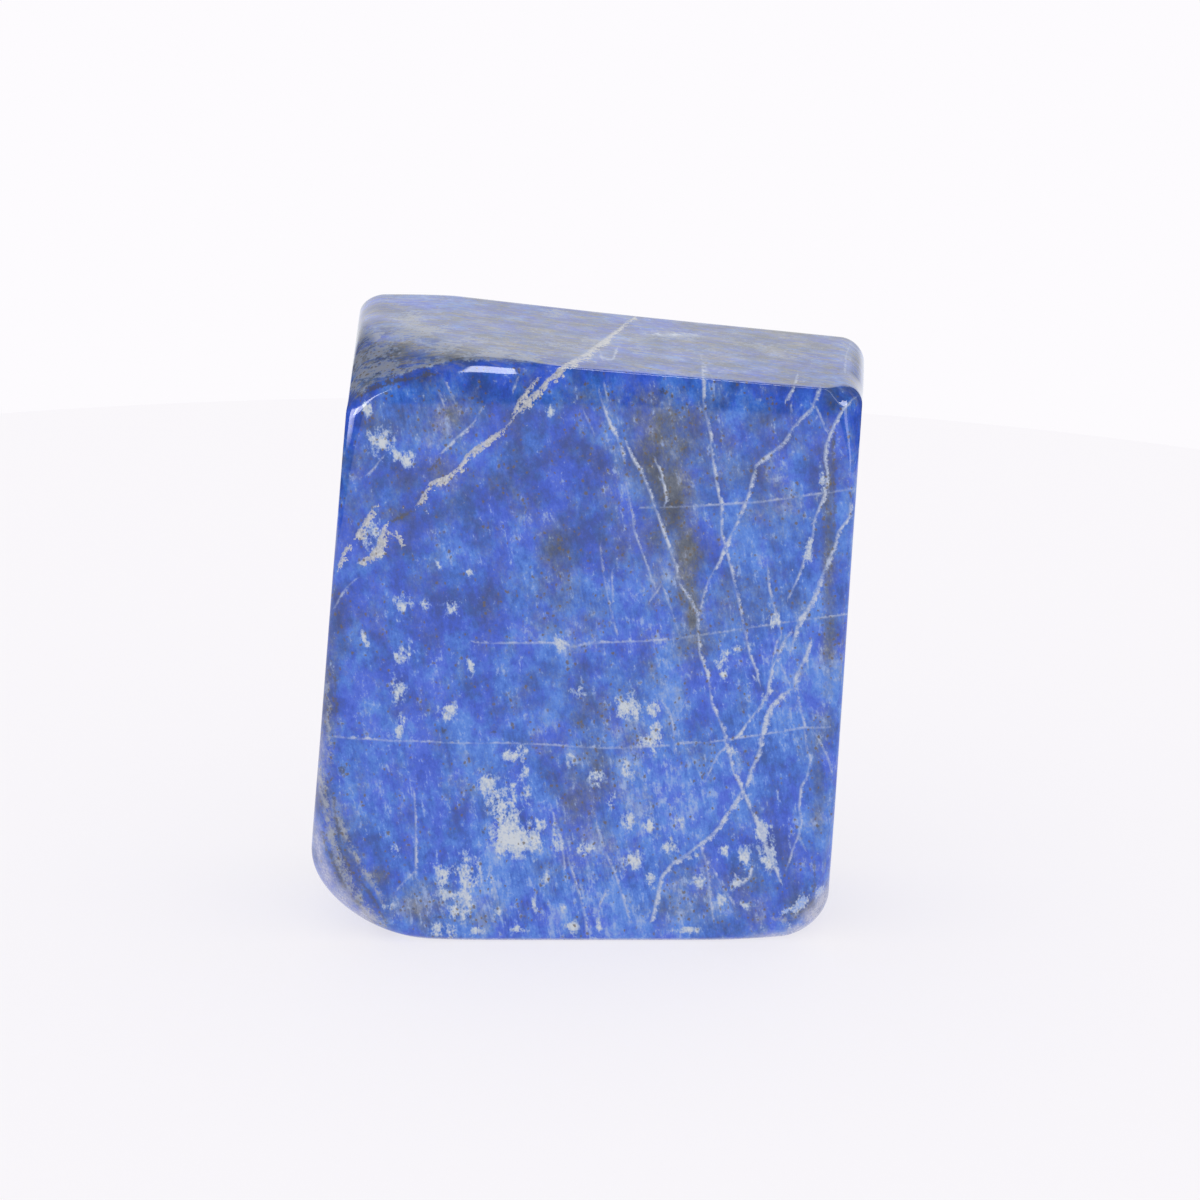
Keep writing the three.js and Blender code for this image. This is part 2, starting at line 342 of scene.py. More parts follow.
# Soft patches: (x, y, half width, half height, turn in degrees, strength), in pixels.

CALCITE_PATCHES = [
    (488, 786, 9, 10, 0, 0.9), (497, 803, 9, 17, -20, 0.95), (511, 800, 7, 18, 0, 0.7),
    (503, 824, 10, 16, 0, 0.9), (513, 838, 20, 14, 10, 1.35), (536, 836, 6, 22, 25, 0.8),
    (526, 792, 5, 12, 0, 0.7), (541, 846, 7, 6, 0, 0.7), (630, 707, 14, 11, 0, 1.0),
    (653, 709, 5, 6, 0, 1.1), (654, 736, 6, 13, 10, 1.1), (644, 742, 6, 5, 0, 0.8),
    (628, 769, 6, 10, 0, 0.75), (597, 778, 7, 8, 30, 0.8), (512, 756, 8, 6, 0, 0.8),
    (520, 748, 9, 4, 20, 0.8), (403, 655, 10, 8, 0, 0.72), (399, 690, 7, 11, 0, 0.85),
    (449, 711, 8, 7, 0, 1.05), (400, 729, 4, 11, 10, 0.95), (471, 668, 5, 7, 0, 0.95),
    (380, 442, 9, 12, -20, 1.15), (398, 456, 5, 5, 0, 1.0), (408, 461, 5, 8, 20, 0.95),
    (368, 409, 5, 5, 0, 1.0), (404, 603, 9, 9, 0, 0.78), (425, 605, 5, 4, 0, 0.7), (451, 603, 6, 8, 0, 0.8),
    (365, 640, 3, 7, -20, 0.9), (440, 566, 3, 4, 0, 0.8), (469, 573, 3, 4, 0, 0.9),
    (372, 537, 9, 12, 0, 0.85), (744, 856, 6, 9, 0, 0.9), (724, 850, 4, 5, 0, 0.8),
    (764, 835, 8, 10, 0, 1.1), (768, 855, 7, 10, 0, 0.9), (463, 913, 6, 5, 0, 1.1),
    (448, 896, 8, 5, 20, 0.9), (436, 929, 5, 5, 0, 1.1), (451, 931, 4, 7, 0, 1.1), (388, 907, 5, 3, 0, 0.9),
    (572, 927, 6, 5, 0, 1.0), (562, 908, 4, 4, 0, 0.8), (632, 861, 7, 8, 30, 0.95),
    (629, 820, 6, 7, 0, 0.9), (647, 826, 5, 5, 0, 0.95), (586, 849, 8, 5, 0, 0.95),
    (672, 848, 8, 7, 0, 0.8), (687, 930, 14, 3, 0, 0.9), (700, 881, 9, 6, 0, 0.85),
    (736, 882, 6, 5, 0, 0.9), (731, 752, 4, 4, 0, 0.9), (693, 858, 5, 4, 0, 0.8), (559, 642, 6, 8, 0, 0.9),
    (578, 692, 8, 5, 0, 0.8), (550, 412, 4, 5, 0, 1.0), (556, 836, 4, 10, 0, 0.7), (560, 848, 4, 5, 0, 0.9),
    (466, 888, 7, 28, 0, 0.92), (456, 868, 6, 6, 0, 0.8), (443, 880, 6, 20, -15, 0.7),
    (478, 872, 4, 12, 0, 0.7), (455, 912, 8, 7, 0, 0.85), (490, 880, 3, 12, 0, 0.6),
    (721, 662, 5, 7, 10, 0.85), (728, 652, 6, 3, -30, 0.85), (739, 649, 5, 3, 0, 0.8),
    (725, 675, 3, 5, -20, 0.8), (731, 683, 4, 3, 0, 0.65), (756, 676, 3, 6, 0, 0.7),
    (808, 552, 4, 12, 15, 0.8), (776, 622, 6, 9, 0, 0.7), (765, 696, 3, 8, 0, 0.6),
    (823, 480, 3, 14, 0, 0.7), (601, 352, 6, 9, 40, 0.8), (524, 768, 4, 8, 0, 0.8),
    (478, 930, 7, 4, 0, 0.85), (520, 930, 6, 3, 0, 0.8), (545, 880, 4, 7, 0, 0.75),
    (600, 925, 5, 6, 0, 0.75), (650, 880, 5, 7, 0, 0.75), (610, 800, 4, 8, 0, 0.7),
    (680, 820, 5, 6, 0, 0.7), (720, 900, 5, 7, 0, 0.75), (395, 850, 5, 7, 0, 0.6), (570, 760, 5, 6, 0, 0.7),
    (744, 905, 5, 4, 0, 0.8), (500, 850, 5, 8, 0, 0.7), (498, 912, 4, 5, 0, 0.7), (789, 926, 2, 4, 0, 1.0),
    (513, 822, 12, 14, 0, 0.75), (770, 862, 5, 10, 0, 0.9), (535, 905, 3, 8, 0, 0.7),
]
TOP_PATCHES = [
    (486, 357, 22, 6, -8, 0.95), (412, 318, 14, 6, -6, 0.75), (556, 313, 10, 4, 5, 0.8),
    (525, 358, 14, 4, 0, 0.8), (372, 336, 14, 5, -12, 0.8), (430, 330, 22, 4, -6, 0.8),
    (372, 366, 16, 4, -14, 0.7), (470, 340, 20, 4, -4, 0.5), (676, 336, 22, 3, 2, 0.8),
    (640, 350, 12, 5, 0, 0.5), (357, 337, 11, 7, -15, 1.15), (378, 352, 13, 5, -15, 1.05),
    (365, 373, 14, 6, -18, 1.0), (386, 367, 12, 7, -15, 1.1), (356, 360, 8, 6, -20, 1.0),
    (404, 372, 14, 5, -12, 0.9), (432, 364, 16, 4, -8, 0.85), (352, 386, 8, 6, -20, 0.9),
    (372, 388, 10, 3, -15, 0.8), (414, 332, 22, 6, -6, 0.95), (444, 346, 16, 5, -6, 0.75),
    (458, 368, 12, 2, -4, 0.7), (760, 345, 20, 3, 3, 0.4), (846, 345, 10, 3, 3, 0.5),
    (700, 350, 20, 3, 2, 0.3), (600, 342, 20, 4, 6, 0.6), (560, 345, 24, 4, 4, 0.5),
    (800, 358, 30, 3, 4, 0.35),
]
HAZE_PATCHES = [
    (560, 890, 130, 60, 0, 0.8), (660, 800, 110, 110, 0, 0.6), (770, 700, 70, 160, 0, 0.6),
    (450, 890, 60, 44, 0, 0.8), (380, 800, 50, 50, 0, 0.5), (640, 640, 60, 50, 0, 0.55),
    (600, 600, 40, 40, 0, 0.5), (545, 590, 25, 40, 0, 0.45), (455, 556, 26, 18, 0, 0.55),
    (800, 450, 35, 60, 0, 0.4), (740, 560, 60, 60, 0, 0.3), (410, 420, 40, 25, 0, 0.45),
    (520, 530, 30, 40, 0, 0.4), (640, 420, 60, 50, 0, 0.35), (350, 760, 22, 16, 0, 0.6),
    (416, 688, 16, 16, 0, 0.6), (366, 706, 12, 16, 0, 0.4), (600, 470, 30, 60, 0, 0.35),
    (700, 430, 60, 60, 0, 0.35), (510, 690, 50, 50, 0, 0.35), (600, 740, 50, 40, 0, 0.45),
    (690, 900, 120, 40, 0, 0.45), (400, 612, 30, 24, 0, 0.3), (820, 640, 20, 90, 0, 0.3),
    (820, 800, 20, 80, 0, 0.35), (690, 360, 200, 12, 0, 0.2), (590, 830, 330, 180, 0, 0.42),
]
GOLD_PATCHES = [
    (662, 450, 30, 44, -10, 0.8), (674, 500, 20, 38, -6, 0.95), (687, 556, 13, 50, -4, 1.05),
    (692, 616, 6, 26, 0, 0.9), (700, 440, 36, 44, 0, 0.5), (655, 540, 16, 60, 0, 0.4),
    (600, 480, 330, 120, 0, 0.2), (556, 570, 20, 60, 0, 0.45), (584, 800, 30, 56, 0, 0.55),
    (690, 640, 26, 16, 0, 0.6), (560, 690, 46, 50, 0, 0.25), (430, 420, 60, 20, -10, 0.5),
    (520, 420, 50, 24, 0, 0.3), (742, 590, 26, 70, -6, 0.35), (775, 480, 26, 60, 0, 0.35),
    (829, 560, 6, 140, 0, 0.7), (818, 800, 6, 50, 0, 0.5), (379, 877, 9, 10, 0, 1.0),
    (420, 910, 60, 18, 0, 0.55), (640, 700, 30, 60, 0, 0.25), (392, 362, 60, 30, -12, 0.45),
    (450, 356, 40, 12, -6, 0.5), (590, 700, 24, 60, 0, 0.35), (765, 340, 90, 20, 0, 0.35),
    (500, 345, 80, 22, 0, 0.35), (343, 840, 14, 60, -22, 0.55), (356, 890, 14, 30, -40, 0.5),
    (440, 470, 26, 16, 0, 0.4), (395, 515, 18, 8, 0, 0.5), (600, 400, 200, 24, 0, 0.2),
    (326, 700, 10, 70, 3, 0.5), (650, 398, 20, 14, 0, 0.5), (770, 850, 18, 40, -20, 0.35),
    (730, 900, 60, 26, 0, 0.3), (800, 905, 20, 12, 0, 0.5), (380, 560, 30, 24, 0, 0.2),
]
# Deeper blue patches. The one at the right end of the top front edge is painted dark reflection; the others
# are deeper blue in the stone.
DEEP_BLUE_AND_DARK_REFLECTION_PATCHES = [
    (400, 352, 24, 9, -5, 1.1), (352, 372, 10, 6, -20, 0.8), (420, 378, 24, 5, -10, 1.0),
    (362, 419, 9, 10, 0, 0.9), (500, 385, 60, 12, 0, 0.6), (430, 610, 60, 90, 0, 0.55),
    (470, 520, 60, 60, 0, 0.45), (550, 470, 40, 70, 0, 0.5), (440, 800, 40, 40, 0, 0.6),
    (400, 760, 26, 14, 0, 0.6), (520, 660, 40, 30, 0, 0.4), (780, 840, 24, 60, 0, 0.5),
    (820, 430, 20, 30, 0, 0.5), (760, 440, 30, 20, 0, 0.4), (600, 520, 26, 60, 0, 0.4),
    (460, 850, 26, 30, 0, 0.6), (780, 380, 30, 10, 0, 0.8), (590, 372, 50, 8, 0, 0.6),
    (750, 760, 26, 26, 0, 0.4), (345, 480, 10, 60, 0, 0.5), (340, 640, 14, 50, 0, 0.4),
    (690, 800, 26, 30, 0, 0.4), (855, 385, 8, 12, 0, 1.0), (360, 500, 16, 30, 0, 0.4),
    (640, 860, 16, 16, 0, 0.3), (345, 600, 16, 40, 0, 0.4),
]
BRUISE_PATCHES = [
    (802, 903, 9, 5, -42, 1.0), (820, 892, 6, 3, -55, 1.0), (788, 911, 9, 2, -20, 0.9),
    (796, 908, 6, 4, -30, 0.9),
]
# Where the polish stops: ground, pale places along the lower corners.
GROUND_PATCHES = [
    (318, 846, 5, 24, -8, 0.8), (326, 874, 6, 18, -20, 0.85), (342, 897, 7, 16, -40, 0.85),
    (362, 916, 7, 14, -60, 0.85), (821, 902, 5, 16, 25, 1.1), (813, 916, 8, 10, 40, 1.05),
    (800, 930, 15, 5, -20, 1.05), (320, 760, 4, 40, 3, 0.4), (776, 936, 20, 3, -5, 0.9),
]
DARK_SPOTS = [
    (784, 915, 3, 3, 0, 1.0), (818, 828, 3, 3, 0, 1.0), (444, 731, 3, 4, 0, 1.2), (494, 732, 4, 3, 0, 1.0),
    (342, 770, 4, 5, 0, 1.2), (431, 800, 3, 2, 0, 1.0), (484, 832, 3, 4, 0, 1.0), (357, 855, 3, 3, 0, 1.0),
    (413, 908, 2, 2, 0, 1.1), (440, 917, 9, 2, 0, 0.9), (662, 391, 4, 5, 0, 0.9), (646, 843, 3, 3, 0, 1.0),
    (584, 647, 4, 5, 0, 0.9), (636, 759, 5, 6, 0, 0.9), (773, 399, 3, 3, 0, 1.0), (671, 845, 4, 3, 0, 1.0),
    (834, 440, 2, 12, 0, 1.0), (680, 530, 4, 16, 0, 0.6), (741, 866, 3, 4, 0, 0.9),
    (765, 826, 3, 3, 0, 1.0), (498, 748, 3, 3, 0, 0.9), (395, 382, 14, 3, -10, 0.6),
]

# The rough bruise over the lower right corner.
BRUISE_ROUTE = (3.6, (776, 914, 0.5), (789, 909), (800, 904, 1.2), (812, 896, 1.1), (822, 887, 0.6))
BRUISE_DEPTH, BRUISE_FADE = 0.22, (3, 6)
# Its ripple: a steady share, a varying share, waves per mm of x and z, and a shift.
BRUISE_STEADY, BRUISE_VARYING, BRUISE_WAVES, BRUISE_SHIFT = 0.7, 0.3, (7.3, 9.1), 1.7


# How the markings are read.
SEED = 5
SLOPE_STEP = 0.02
END_SLOPE = 0.3
VEIN_REACH = 12.0
NO_VEIN = 8.0
PATCH_FALL = 0.7
PATCH_STRETCH = np.array([0.8, 1.0, 1.4])
# Heights over which the ground edge at the base fades, and the range of the scattered patches.
GROUND_EDGE = (0.15, 0.8)
SCATTERED_SIZES, SCATTERED_STRENGTHS = (0.5, 1.5), (0.4, 1.1)

# Behind the front edge and under the top edge, in mm, a vein's sheet dips by up to this many
# pixels per mm of depth.
STEEPEST_DIP = 4.5
DIP_FROM_FRONT = 3.0
DIP_UNDER_TOP = (1.5, 9.0)
HIDDEN_FROM = 9.0
TOP_PATCH_FADE = (1.0, 3.0)
TOP_PATCH_START = (0.5, 1.5)

VEINS = {"cream": CREAM_VEINS, "white": WHITE_VEINS, "seam": DARK_SEAMS, "beige": BEIGE_BANDS}

# Kind of patch: (those on the front, those on the top, how many elsewhere, their half size in mm).
PATCHES = {
    "calcite": (CALCITE_PATCHES, TOP_PATCHES, 70, 2.2),
    "haze": (HAZE_PATCHES, HAZE_PATCHES, 24, 9.0),
    "gold": (GOLD_PATCHES, GOLD_PATCHES, 24, 7.0),
    "deep": (DEEP_BLUE_AND_DARK_REFLECTION_PATCHES, DEEP_BLUE_AND_DARK_REFLECTION_PATCHES, 24, 7.0),
    "spot": (DARK_SPOTS, DARK_SPOTS, 30, 0.7),
    "ground": (GROUND_PATCHES, [], 0, 1.0),
    "bruise": (BRUISE_PATCHES, [], 0, 1.0),
}

# The stone's grain: it splits along layers, and its fibres run nearly upright within them.
LAYER_NORMAL = (0.25, 0.97, 0.03)
FIBRE_WAY = (0.17, 0.0, -1.0)
# The noises: (lump size in mm across the fibres, through the layers and along both; seed; detail;
# roughness).
NOISES = {
    "clouds": ((6, 5, 7.5), 1, 6, 0.72),
    "hues": ((5, 4, 6.5), 9, 4, 0.7),
    "drifts": ((5, 4, 7), 2, 6, 0.75),
    "fibres": ((0.32, 0.4, 2.2), 3, 2, 0.6),
    "threads": ((0.8, 0.9, 4.0), 4, 4, 0.7),
    "streaks": ((5, 0.8, 6), 5, 4, 0.75),
    "flecks": ((1.0, 0.8, 1.4), 6, 4, 0.72),
    "crumbs": ((0.3, 0.3, 0.36), 7, 1, 0.5),
    "ragged": ((1.6, 1.6, 1.6), 8, 4, 0.8),
}
# The cells that hold a larger speck and a fine one each, in mm.
SPECK_CELL, FINE_CELL = (1.3, 1.3, 1.5), (0.6, 0.6, 0.7)
# How far the markings cover the colour under them, and the values at which some of them begin and
# show fully. "cut" is how squarely a surface cuts across the layers, for their streaks.
COVER = {
    "spot": 0.75, "wisp": 0.7, "halo": 0.45, "seam": 0.75, "speck": 0.78, "bruise": 0.85, "ground": 0.85,
}
SPANS = {
    "cut": (0.05, 0.4), "spot": (0.45, 0.95), "wisp": (0.0, 1.7), "halo": (0.30, 0.90),
    "chalk": (0.40, 1.15), "bruise": (0.35, 0.8),
}
# Kind of vein: (softness of its edge in mm; how far the ragged and the crumbly noise move the edge;
# its share of its width, and how far the ragged noise varies it). Thin veins wobble and show less.
VEIN_EDGES = {
    "beige": (0.5, 0.12, 0.08, 0.9, 0.3),
    "seam": (0.25, 0.10, 0.08, 0.9, 0.5),
    "white": (0.30, 0.05, 0.02, 0.70, 0.20),
    "cream": (0.2, 0.18, 0.07, 0.78, 0.42),
}
WOBBLE_PER_WIDTH, LEAST_WOBBLE = 4, 0.3
SHOWN_PER_WIDTH, LEAST_SHOWN = 2.4, 0.5
NOISE_SPREAD = 0.14
NOISE_STEPS = (7.13, 3.71, 5.57)

# Colours, as linear shares of red, green and blue. The first three are ramps with these stops.
RAMP_STOPS = (0.0, 0.3, 0.6, 1.0)
VIOLETS = [(0.034, 0.074, 0.34), (0.038, 0.098, 0.565), (0.070, 0.146, 0.68), (0.190, 0.275, 0.70)]
AZURES = [(0.030, 0.092, 0.36), (0.046, 0.148, 0.585), (0.098, 0.242, 0.71), (0.250, 0.390, 0.73)]
DRABS = [(0.040, 0.054, 0.115), (0.070, 0.086, 0.132), (0.122, 0.143, 0.190), (0.270, 0.285, 0.360)]
DARK_SPOT = (0.045, 0.060, 0.11)
SPECK_BROWN = (0.12, 0.095, 0.07)
SEAM_BROWN = (0.080, 0.080, 0.085)
CALCITE_GREY = (0.33, 0.42, 0.62)
CALCITE_CREAM = (0.58, 0.62, 0.67)
VEIN_BLUE = (0.31, 0.39, 0.62)
VEIN_WHITE = (0.52, 0.57, 0.68)
VEIN_GREY = (0.34, 0.36, 0.42)
VEIN_CREAM = (0.58, 0.58, 0.59)
PALE_BLUE = (0.22, 0.36, 0.72)
STREAK_GOLD = (0.21, 0.19, 0.18)
BEIGE = (0.31, 0.34, 0.42)
TOP_BEIGE = (0.25, 0.25, 0.27)
WISP = (0.29, 0.40, 0.70)
BRUISE_BLUE = (0.30, 0.44, 0.82)
GROUND_PALE = (0.54, 0.55, 0.66)

# Roughness of the polish, what calcite and ground places add to it, and the index of refraction.
POLISH, CHALK_DULLNESS, GROUND_DULLNESS, STONE_IOR = 0.025, 0.08, 0.3, 1.53

# The studio: the floor; the backdrop and its top edge (sine of elevation) and sides (degrees) as a
# polish mirrors them; and how bright a polish sees the ceiling and the room in front.
FLOOR_SIDES = 256
FLOOR_GAP = 0.05
FLOOR_WHITE = (0.955, 0.935, 0.965)
FLOOR_LIT, FLOOR_ROUGHNESS = 0.3, 0.9
BACKDROP = (0.982, 0.965, 0.991)
EVEN_LIGHT = (1.0, 1.0, 1.0)
BACKDROP_TOP = (0.50, 0.62)
BACKDROP_SIDES = (157.0, 166.0)
CEILING = 0.05
FRONT_DARK = 0.03
# Softboxes, which show only where they are mirrored: azimuths from and to, their edge, elevations
# from and to, their edge, and radiance. Degrees, the azimuth from the front towards the right.
SOFTBOXES = [
    (-3, 9, 2, 15, 60, 3, 11.0),
    (-60, -13, 2, -3, 12, 2, 9.0),
    (-86, -47, 4, -7, 13, 4, 8.0),
    (14, 40, 2, 12, 36, 2, 9.0),
    (26, 42, 3, -20, 10, 5, 3.0),
]


def along(spots, route):
    """For spots in pixels: (signed distance to a route, its width factor there, the way past its ends)."""
    knots = np.array([(*knot[:2], knot[2] if len(knot) > 2 else 1.0) for knot in route], float)
    nearest = np.full(len(spots), np.inf)
    signed, factor, beyond = np.zeros((3, len(spots)))
    for number, (start, end) in enumerate(zip(knots[:-1], knots[1:])):
        step = end[:2] - start[:2]
        length = np.hypot(*step)
        share = (spots - start[:2]) @ step / length**2
        held = np.clip(share, 0, 1)
        away = spots - start[:2] - held[:, None] * step
        distance = np.hypot(*away.T)
        side = np.where(step[0] * away[:, 1] < step[1] * away[:, 0], -1.0, 1.0)
        past = np.zeros(len(spots))
        if number == 0:
            past = np.maximum(past, -share * length)
        if number == len(knots) - 2:
            past = np.maximum(past, (share - 1) * length)
        nearer = distance < nearest
        nearest = np.where(nearer, distance, nearest)
        signed = np.where(nearer, side * distance, signed)
        factor = np.where(nearer, start[2] + (end[2] - start[2]) * held, factor)
        beyond = np.where(nearer, past, beyond)
    return signed, factor, beyond


def vein_fields(seen, sunk, veins, dips):
    """The veins as [(signed distance, half width)] in mm, each pair with veins that don't touch.

    Past a vein's ends and away from it the half width falls below nothing.
    """
    fields = []
    for (half_width, *route), dip in zip(veins, dips):
        spots = seen + sunk[:, None] * dip
        corners = np.array([knot[:2] for knot in route], float)
        low, high = corners.min(0) - VEIN_REACH, corners.max(0) + VEIN_REACH
        chosen = np.nonzero(((spots > low) & (spots < high)).all(1))[0]
        signed, factor, beyond = along(spots[chosen], route)
        width = half_width * factor - END_SLOPE * np.maximum(beyond, 0)
        width = width - NO_VEIN * np.clip(2 * np.abs(signed) / VEIN_REACH - 1, 0, 1)
        near = np.abs(signed) < VEIN_REACH
        chosen, signed, width = chosen[near], signed[near], np.maximum(width[near], -NO_VEIN)
        for distances, widths, used in fields:
            if not used[chosen].any():
                break
        else:
            distances, widths = np.full(len(seen), VEIN_REACH), np.full(len(seen), -NO_VEIN)
            used = np.zeros(len(seen), bool)
            fields.append((distances, widths, used))
        distances[chosen], widths[chosen], used[chosen] = signed, width, True
    return [(distances / PIXELS_PER_MM, widths / PIXELS_PER_MM) for distances, widths, _ in fields]


def patch_field(spots, patches):
    """The strongest of some soft patches at each spot, in pixels."""
    total = np.zeros(len(spots))
    for px, py, half_width, half_height, turn, strength in patches:
        c, s = math.cos(math.radians(turn)), math.sin(math.radians(turn))
        dx, dy = spots[:, 0] - px, spots[:, 1] - py
        across, down = (dx * c + dy * s) / half_width, (dy * c - dx * s) / half_height
        total = np.maximum(total, strength * np.exp(-PATCH_FALL * (across**2 + down**2)))
    return total


def scattered_patches(points, count, half_size, chance):
    """Soft patches scattered all over the stone, for the sides that the photograph doesn't show."""
    centres = points[chance.integers(0, len(points), count)]
    sizes = half_size * chance.uniform(*SCATTERED_SIZES, count)
    strengths = chance.uniform(*SCATTERED_STRENGTHS, count)
    total = np.zeros(len(points))
    for centre, size, strength in zip(centres, sizes, strengths):
        away = (points - centre) / (size * PATCH_STRETCH)
        total = np.maximum(total, strength * np.exp(-PATCH_FALL * (away**2).sum(1)))
    return total


def markings(points):
    """The stone's markings: {attribute: one number per point}."""
    x, y, z = points.T
    seen = seen_at(points)
    under_top = top_wall(x, y) - z
    sunk = np.maximum(y - DIP_FROM_FRONT, 0) * smoothstep(under_top, *DIP_UNDER_TOP)
    chance = np.random.default_rng(SEED)

    fields = {}
    for kind, veins in VEINS.items():
        dips = chance.uniform(-STEEPEST_DIP, STEEPEST_DIP, (len(veins), 2))
        for number, (distance, width) in enumerate(vein_fields(seen, sunk, veins, dips)):
            fields[f"{kind}_{number}_distance"] = distance
            fields[f"{kind}_{number}_width"] = width

    hidden = smoothstep(sunk, 0, HIDDEN_FROM)
    on_top = (1 - smoothstep(under_top, *TOP_PATCH_FADE)) * smoothstep(y, *TOP_PATCH_START)
    for kind, (patches, top_patches, count, half_size) in PATCHES.items():
        shown = patch_field(seen, patches) * (1 - on_top) + patch_field(seen, top_patches) * on_top
        scattered = scattered_patches(points, count, half_size, chance)
        fields[kind] = shown + (scattered - shown) * hidden
    fields["on_top"] = on_top
    fields["ground"] = np.maximum(fields["ground"], 1 - smoothstep(z, *GROUND_EDGE))
    slopes = [outside(points + step) - outside(points - step) for step in np.eye(3) * SLOPE_STEP]
    normals = np.stack(slopes, -1) / np.linalg.norm(slopes, axis=0)[:, None]
    layer_normal = np.array(LAYER_NORMAL) / np.linalg.norm(LAYER_NORMAL)
    fields["cut"] = 1 - np.abs(normals @ layer_normal)
    return fields


def bruised(points):
    """The points pressed in along the small rough bruise."""
    half_width, *route = BRUISE_ROUTE
    signed, factor, _ = along(seen_at(points), route)
    share = np.clip((half_width * factor - np.abs(signed)) / half_width, 0, 1)
    share *= 1 - smoothstep(points[:, 1], *BRUISE_FADE)
    wave_x, wave_z = BRUISE_WAVES
    waves = np.sin(wave_x * points[:, 0]) * np.sin(wave_z * points[:, 2] + BRUISE_SHIFT)
    ripple = BRUISE_STEADY + BRUISE_VARYING * waves
    inwards = block_points(np.array([0.5, 0.5, 0.5])) - points
    inwards /= np.linalg.norm(inwards, axis=1)[:, None]
    return points + inwards * (BRUISE_DEPTH * share * ripple)[:, None]


def linked(name, data):
    """An object of the scene, from its data."""
    thing = bpy.data.objects.new(name, data)
    bpy.context.scene.collection.objects.link(thing)
    return thing


def stone_object(place):
    """(the polished stone at the solid's place, how far it was moved in mm). place: the solid's box in m."""
    points, faces = stone_mesh()
    fields = markings(points)
    points = bruised(points)
    low, high = np.array(place[0]) / MM, np.array(place[1]) / MM
    shift = (low + high) / 2 - (points.min(0) + points.max(0)) / 2
    shift[2] = low[2] - points[:, 2].min()
    placed = np.clip(points + shift, low, high) * MM

    mesh = bpy.data.meshes.new("lapis_stone")
    mesh.from_pydata(placed.tolist(), [], faces.tolist())
    mesh.validate()
    mesh.shade_smooth()
    for name, values in fields.items():
        attribute = mesh.attributes.new(name, "FLOAT", "POINT")
        attribute.data.foreach_set("value", values.astype(np.float32))
    stone = linked("lapis_stone", mesh)
    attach(stone, "root")
    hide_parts(NODE)
    return stone, shift


def operator(operation):
    """A method that puts a value, and what it is given, through a math node."""
    return lambda self, *others: self.shader.math(operation, self, *others)


class Value:
    """A shader number that can be added, multiplied and compared."""

    __add__ = __radd__ = operator("ADD")
    __mul__ = __rmul__ = operator("MULTIPLY")
    __sub__, __truediv__ = operator("SUBTRACT"), operator("DIVIDE")
    __abs__, most = operator("ABSOLUTE"), operator("MAXIMUM")

    def __init__(self, shader, socket):
        self.shader, self.socket = shader, socket

    def __rsub__(self, other):
        return self.shader.math("SUBTRACT", other, self)

    def clamped(self):
        return self.shader.math("ADD", self, 0.0, clamp=True)

    def step(self, low, high):
        """0 below low, 1 above high, and smooth between them."""
        node = self.shader.add("MapRange", interpolation_type="SMOOTHSTEP")
        for name, value in (("Value", self), ("From Min", low), ("From Max", high)):
            self.shader.feed(node.inputs[name], value)
        return Value(self.shader, node.outputs["Result"])


class Shader:
    """Short ways to build a node tree."""

    def __init__(self, tree):
        self.tree = tree
        tree.nodes.clear()

    def add(self, kind, **settings):
        node = self.tree.nodes.new("ShaderNode" + kind)
        for name, value in settings.items():
            setattr(node, name, value)
        return node

    def feed(self, socket, value):
        if isinstance(value, Value):
            value = value.socket
        if isinstance(value, bpy.types.NodeSocket):
            self.tree.links.new(value, socket)
        else:
            socket.default_value = value

    def math(self, operation, *values, clamp=False):
        node = self.add("Math", operation=operation, use_clamp=clamp)
        for socket, value in zip(node.inputs, values):
            self.feed(socket, value)
        return Value(self, node.outputs[0])

    def vector(self, operation, *values):
        node = self.add("VectorMath", operation=operation)
        for socket, value in zip(node.inputs, values):
            self.feed(socket, value)
        return node.outputs["Value" if operation == "DOT_PRODUCT" else "Vector"]

    def attribute(self, name):
        return Value(self, self.add("Attribute", attribute_name=name).outputs["Fac"])

    def noise(self, place, size, seed, detail, roughness):
        """Smooth noise about 0 that seldom leaves -2 to 2. size is its lumps' size in mm along each axis."""
        scaled = self.vector("MULTIPLY", place, [1 / length for length in size])
        node = self.add("TexNoise", noise_dimensions="3D")
        self.feed(node.inputs["Vector"], self.vector("ADD", scaled, [seed * step for step in NOISE_STEPS]))
        for name, value in (("Scale", 1.0), ("Detail", detail), ("Roughness", roughness)):
            node.inputs[name].default_value = value
        octaves = roughness ** np.arange(detail + 1)
        spread = NOISE_SPREAD * math.sqrt((octaves**2).sum()) / octaves.sum()
        return (Value(self, node.outputs[0]) - 0.5) * (1 / spread)

    def grains(self, place, size, seed):
        """(distance to the nearest grain's middle, that grain's chance) for grains strewn at a size."""
        scaled = self.vector("MULTIPLY", place, [1 / length for length in size])
        node = self.add("TexVoronoi", voronoi_dimensions="3D", feature="F1")
        self.feed(node.inputs["Vector"], self.vector("ADD", scaled, [-seed * step for step in NOISE_STEPS]))
        node.inputs["Scale"].default_value = 1.0
        split = self.add("SeparateColor")
        self.feed(split.inputs[0], node.outputs["Color"])
        return Value(self, node.outputs["Distance"]), Value(self, split.outputs[0])

    def ramp(self, value, colours):
        """A colour from a value, along a ramp of colours."""
        node = self.add("ValToRGB")
        elements = node.color_ramp.elements
        while len(elements) < len(colours):
            elements.new(1.0)
        for element, position, colour in zip(elements, RAMP_STOPS, colours):
            element.position, element.color = position, (*colour, 1)
        self.feed(node.inputs[0], value)
        return node.outputs["Color"]

    def mix(self, share, first, second):
        """A mix of two colours, the second by its share."""
        node = self.add("Mix", data_type="RGBA", clamp_factor=True)
        for socket, value in ((0, share), (6, first), (7, second)):
            self.feed(node.inputs[socket], (*value, 1) if isinstance(value, tuple) else value)
        return node.outputs[2]


